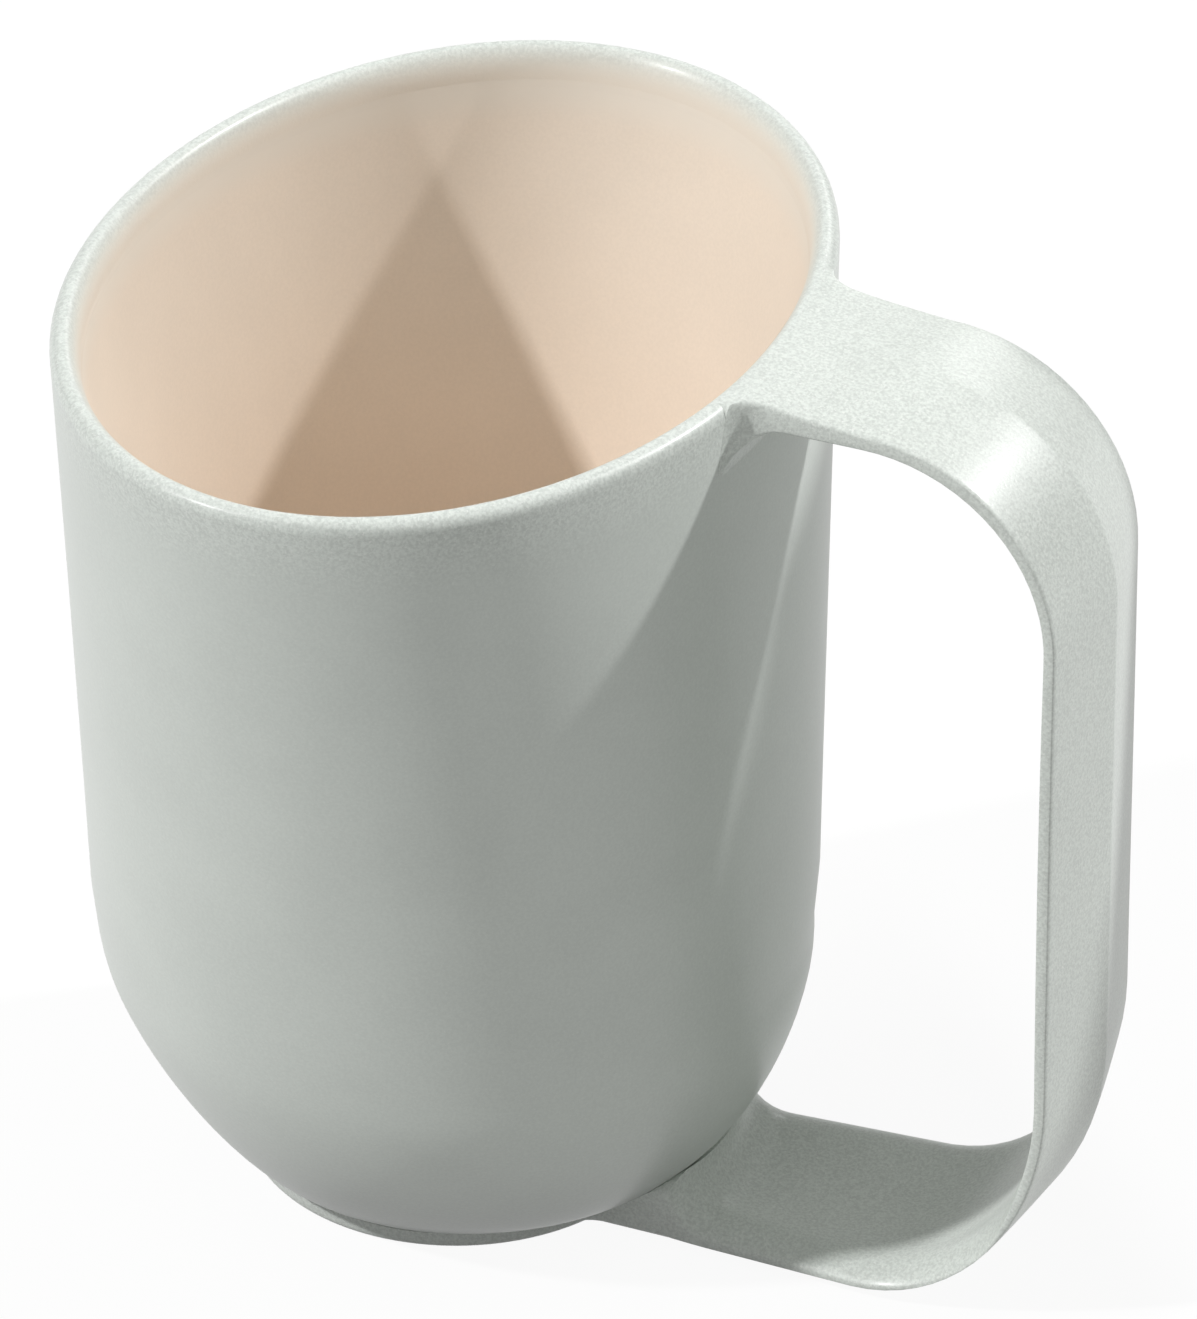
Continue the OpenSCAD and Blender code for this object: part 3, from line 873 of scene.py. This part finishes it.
def turn_section(turn, here):
    """Turns the selected section about Y. Without a window the operator turns the other way."""
    bpy.ops.transform.rotate(value=-turn, orient_axis="Y", center_override=here)


def extrude_stations(stations):
    """Extrudes the selected section through a list of stations that starts with its own."""
    for now, new in zip(stations, stations[1:]):
        here = (now.x, 0, now.z)
        growth = (1.0, new.half_w / now.half_w, new.t / now.t)
        bpy.ops.mesh.extrude_edges_move()
        turn_section(-now.turn, here)
        bpy.ops.transform.resize(value=growth, center_override=here)
        turn_section(new.turn, here)
        bpy.ops.transform.translate(value=(new.x - now.x, 0, new.z - now.z))


def crown_ribbon(ribbon, stations):
    """Raises the ridge on the ribbon's outer face, and dishes and softens its inner face."""
    mesh = bmesh.from_edit_mesh(ribbon.data)
    mesh.verts.ensure_lookup_table()
    count = len(mesh.verts) // len(stations)
    for k, station in enumerate(stations):
        outward = Vector((math.sin(station.turn), 0, math.cos(station.turn)))
        middle = Vector((station.x, 0, station.z))
        for vert in mesh.verts[k * count:(k + 1) * count]:
            across = abs(vert.co.y) / station.half_w
            inner = (middle - vert.co).dot(outward) / station.t
            fall = station.ridge * across ** station.power * (1 - inner)
            edge = max(0.0, (across - SOFT_START) / (1 - SOFT_START)) ** 2
            dish = DISH_SHARE * max(0.0, 1 - (across / SOFT_START) ** 2)
            lift = station.soft * (edge + dish) * inner
            vert.co += outward * (lift - fall)
            vert.co.y *= 1 + station.flare * inner / station.half_w
    bmesh.update_edit_mesh(ribbon.data)


def dome_height(sizes, foot_h, x, y):
    """Height of the cup's outer face above a point of the table."""
    low, high = foot_h, sizes.shoulder_z
    around = math.atan2(y, x)
    for _ in range(HEIGHT_HALVINGS):
        z = (low + high) / 2
        reach = cup_ring(sizes, foot_h, z).x * dome_swell(sizes, foot_h, z, around)
        low, high = (z, high) if reach < math.hypot(x, y) else (low, z)
    return low


def fit_ribbon(ribbon, sizes, handle):
    """Bows the ribbon's ends to follow the walls they meet, and lays its end under the dome."""
    root_x, bend_x = sizes.mouth_width / 2, handle.reach_top - handle.top_bend_r
    scoop_x, low_x = scoop_x_of(sizes, handle), handle.reach_foot - handle.low_bend_x
    mesh = bmesh.from_edit_mesh(ribbon.data)
    for vert in mesh.verts:
        place = vert.co
        if place.z > sizes.height / 2 and place.x < bend_x:
            bow = min(1.0, (bend_x - place.x) / (bend_x - root_x))
            place.x -= bow * fall_back(place.y, root_x, sizes.mouth_length / 2)
        elif place.z < sizes.height / 2 and place.x < low_x:
            bow = min(1.0, (low_x - place.x) / (low_x - scoop_x))
            place.x -= bow * fall_back(place.y, scoop_x, scoop_x)
            place.z = min(place.z, dome_height(sizes, handle.foot_h, place.x, place.y))
    bmesh.update_edit_mesh(ribbon.data)


def foot_rings(sizes, handle):
    """Rings of the foot disc and its grooved spigot, from the table up and in."""
    foot_r = sizes.base_d / 2 + handle.foot_step
    outer = sizes.bore_d / 2 - handle.slide_gap
    groove = outer - handle.groove_depth
    top = handle.foot_h + sizes.flange_h
    middle = handle.foot_h + sizes.flange_h / 2
    edge = handle.foot_edge_r
    turns = [math.pi / 2 * k / FOOT_EDGE_STEPS for k in range(FOOT_EDGE_STEPS + 1)]
    profile = [(foot_r - edge + edge * math.sin(turn), edge - edge * math.cos(turn)) for turn in turns]
    profile += [(foot_r, handle.foot_h), (outer, handle.foot_h), (outer, middle - handle.groove_h / 2),
                (groove, middle - handle.groove_h / 2), (groove, middle + handle.groove_h / 2),
                (outer, middle + handle.groove_h / 2), (outer, top), (outer - handle.spigot_t, top),
                (outer - handle.spigot_t, handle.foot_h)]
    return [Ring(z, r, r) for r, z in profile]


class CUP_OT_handle(bpy.types.Operator):
    """Models the ribbon handle and the foot disc that it flows into"""

    bl_idname = "cup.handle"
    bl_label = "Handle and foot"

    def execute(self, context):
        sizes, handle = context.scene.cup_sizes, context.scene.cup_handle
        rings = foot_rings(sizes, handle)
        foot = start_piece("foot_disc", rings[0])
        extrude_rings(rings)
        cap_ends(foot)
        smooth_piece()

        stations = ribbon_stations(sizes, handle) + foot_stations(sizes, handle)
        ribbon = draw_section(handle, stations[0])
        extrude_stations(stations)
        crown_ribbon(ribbon, stations)
        fit_ribbon(ribbon, sizes, handle)
        bpy.ops.mesh.select_all(action="SELECT")
        bpy.ops.mesh.fill_holes(sides=0)
        ribbon.name = ribbon.data.name = "handle_smooth"
        smooth_piece()
        join = ribbon.modifiers.new("join_foot", "BOOLEAN")
        join.operation = "UNION"
        join.solver = "MANIFOLD"
        join.object = foot
        bpy.ops.object.modifier_apply(modifier=join.name)
        bpy.data.objects.remove(foot)
        bpy.ops.object.mode_set(mode="EDIT")
        smooth_piece()
        hand_over(ribbon, bpy.data.materials["sage_handle"], "handle")
        return {"FINISHED"}


class CUP_OT_finishes(bpy.types.Operator):
    """Makes the materials and dresses the pieces that keep their solids"""

    bl_idname = "cup.finishes"
    bl_label = "Finishes"

    def execute(self, context):
        finish = context.scene.cup_finish
        sizes = context.scene.cup_sizes
        sage_plastic(finish, "sage_shell", 0.25, sizes.height)
        sage_plastic(finish, "sage_handle", 0.9, sizes.height)
        cream_plastic(finish, sizes.height - sizes.lip_h - sizes.seal_h)
        silicone(finish)
        dress = {
            "insulation": closed_cell_foam(finish),
            "base_weight": turned_steel(finish),
            "weight_pad": soft_rubber(finish, "dark_pad", 0.9 * MM),
            "base_seal": soft_rubber(finish, "dark_ring", 0.5 * MM),
        }
        for node, material in dress.items():
            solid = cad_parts[node]
            solid.data.materials.clear()
            solid.data.materials.append(material)
        return {"FINISHED"}


class CUP_OT_stage(bpy.types.Operator):
    """Sets up the floor, the lights and the camera"""

    bl_idname = "cup.stage"
    bl_label = "Stage"

    def execute(self, context):
        studio = context.scene.cup_studio
        self.lay_floor(studio)
        self.stand_backdrop()
        self.lay_contact()
        self.light_world(context.scene, studio)
        self.hang_light("back_light", BACK_LIGHT_FROM, studio.back_light, studio.light_size)
        self.hang_light("front_light", FRONT_LIGHT_FROM, studio.front_light, studio.light_size)
        self.hang_light("rim_light", RIM_LIGHT_FROM, studio.rim_light, studio.rim_size)
        self.hang_light("fill_light", FILL_LIGHT_FROM, studio.fill_light, studio.fill_size)
        self.hang_flag()
        self.aim_camera(context.scene, studio)
        context.scene.view_settings.view_transform = "Standard"
        return {"FINISHED"}

    def lay_floor(self, studio):
        """Lays a white floor that shows only the faintest shadow."""
        bpy.ops.object.select_all(action="DESELECT")
        bpy.ops.mesh.primitive_plane_add(size=FLOOR_SIZE, location=(0, 0, -FLOOR_DROP))
        floor = bpy.context.object
        floor.name = "floor"
        material, tree = new_material("white_floor")
        paper = tree.node("ShaderNodeBsdfDiffuse", None, {"Color": PAPER})
        glow = tree.node("ShaderNodeEmission", None, {"Color": WHITE, "Strength": 1.0})
        mixed = tree.node("ShaderNodeMixShader", None, {0: studio.floor_glow, 1: paper, 2: glow})
        tree.node("ShaderNodeOutputMaterial", None, {"Surface": mixed})
        floor.data.materials.append(material)
        floor.visible_diffuse = False

    def stand_backdrop(self):
        """Stands a white wall round the floor for the views from low down."""
        middle = (0, 0, WALL_RADIUS / 2)
        bpy.ops.mesh.primitive_cylinder_add(
            radius=WALL_RADIUS, depth=WALL_RADIUS, end_fill_type="NOTHING", location=middle
        )
        wall = bpy.context.object
        wall.name = "backdrop"
        material, tree = new_material("white_wall")
        glow = tree.node("ShaderNodeEmission", None, {"Color": WHITE, "Strength": 1.0})
        tree.node("ShaderNodeOutputMaterial", None, {"Surface": glow})
        material.cycles.emission_sampling = "NONE"
        wall.data.materials.append(material)
        wall.visible_diffuse = False
        wall.visible_glossy = False
        wall.visible_shadow = False

    def lay_contact(self):
        """Lays a dark card under the cup, which only keeps the light from below off its foot."""
        bpy.ops.mesh.primitive_circle_add(
            radius=CONTACT_RADIUS, fill_type="NGON", location=(0, 0, -CONTACT_DROP)
        )
        card = bpy.context.object
        card.name = "contact_card"
        material, tree = new_material("black_card")
        dark = tree.node("ShaderNodeBsdfDiffuse", None, {"Color": BLACK})
        tree.node("ShaderNodeOutputMaterial", None, {"Surface": dark})
        card.data.materials.append(material)
        card.visible_camera = False
        card.visible_glossy = False
        card.visible_shadow = False

    def light_world(self, scene, studio):
        """Lights the cup softly from all sides, more from below than from above."""
        world = bpy.data.worlds.new("studio")
        scene.world = world
        world.use_nodes = True
        tree = Tree(world.node_tree)
        along = tree.node("ShaderNodeTexCoord", output="Generated")
        up = tree.node("ShaderNodeSeparateXYZ", None, {"Vector": along}, output="Z")
        strength = tree.span(up, -HORIZON, HORIZON, studio.bounce, studio.sky)
        tint = (*studio.sky_tint, 1.0)
        light = tree.node("ShaderNodeBackground", None, {"Color": tint, "Strength": strength})
        tree.node("ShaderNodeOutputWorld", None, {"Surface": light})

    def hang_light(self, name, toward, strength, size):
        """Hangs a far light that shines from the given direction."""
        bpy.ops.object.light_add(type="SUN", location=toward)
        light = bpy.context.object
        light.name = name
        light.rotation_euler = toward.to_track_quat("Z", "Y").to_euler()
        light.data.energy = strength
        light.data.angle = size

    def hang_flag(self):
        """Hangs a card with a feathered edge that keeps the back light off the shell and the low grip."""
        turn = BACK_LIGHT_FROM.to_track_quat("Z", "Y")
        place = turn @ Vector((0, 0, FLAG_DISTANCE))
        high, low = FLAG_EDGE[0][1], FLAG_EDGE[-1][1]
        pitch = (high - low) / (2 * FLAG_TEETH)
        teeth = [(FLAG_FEATHER[k % 2], low + k * pitch) for k in range(2 * FLAG_TEETH + 1)]
        outline = [*FLAG_EDGE, *teeth]
        bpy.ops.mesh.primitive_circle_add(
            vertices=len(outline), fill_type="NGON", location=place, rotation=turn.to_euler()
        )
        flag = bpy.context.object
        flag.name = "flag"
        for vert, (aside, above) in zip(flag.data.vertices, outline):
            vert.co = (aside * MM, above * MM, 0.0)
        flag.visible_camera = False
        flag.visible_diffuse = False
        flag.visible_glossy = False

    def aim_camera(self, scene, studio):
        """Adds the camera where the photograph was taken from."""
        az, el = studio.azimuth, studio.elevation
        back = Vector((math.sin(az) * math.cos(el), -math.cos(az) * math.cos(el), math.sin(el)))
        right = Vector((math.cos(az), math.sin(az), 0.0))
        up = back.cross(right)
        aim = right * -studio.aside_px + up * studio.above_px - back * studio.focal_px
        bpy.ops.object.camera_add(location=Vector((0, 0, studio.target_z)) + back * studio.distance)
        camera = bpy.context.object
        camera.name = "camera"
        camera.rotation_euler = aim.to_track_quat("-Z", "Y").to_euler()
        camera.data.sensor_width = SENSOR_MM
        camera.data.lens = SENSOR_MM * studio.focal_px / PHOTO_LONG_SIDE
        camera.data.clip_end = VIEW_END
        scene.camera = camera


class CUP_PT_panel(bpy.types.Panel):
    """Lists the cup's sizes, finishes and operators"""

    bl_idname = "CUP_PT_panel"
    bl_label = "Insulated weighted cup"
    bl_space_type = "VIEW_3D"
    bl_region_type = "UI"
    bl_category = "Cup"

    def draw(self, context):
        for operator in OPERATORS:
            self.layout.operator(operator.bl_idname)
        for group in GROUPS:
            settings = getattr(context.scene, group)
            box = self.layout.box()
            for key in settings.bl_rna.properties.keys():
                if key not in ("rna_type", "name"):
                    box.prop(settings, key)


GROUPS = {
    "cup_sizes": CupSizes,
    "cup_handle": HandleSizes,
    "cup_finish": CupFinish,
    "cup_studio": CupStudio,
}
OPERATORS = (
    CUP_OT_finishes,
    CUP_OT_shell,
    CUP_OT_liner,
    CUP_OT_seal,
    CUP_OT_handle,
    CUP_OT_stage,
)
CLASSES = (*GROUPS.values(), *OPERATORS, CUP_PT_panel)


def register():
    """Registers the classes and hangs the property groups on the scene."""
    for cls in CLASSES:
        bpy.utils.register_class(cls)
    for name, group in GROUPS.items():
        setattr(bpy.types.Scene, name, PointerProperty(type=group))


def unregister():
    """Takes away what register added."""
    for name in GROUPS:
        delattr(bpy.types.Scene, name)
    for cls in reversed(CLASSES):
        bpy.utils.unregister_class(cls)


def main():
    """Builds the whole scene."""
    register()
    bpy.ops.cup.finishes()
    bpy.ops.cup.shell()
    bpy.ops.cup.liner()
    bpy.ops.cup.seal()
    bpy.ops.cup.handle()
    bpy.ops.cup.stage()


if __name__ == "__main__":
    main()
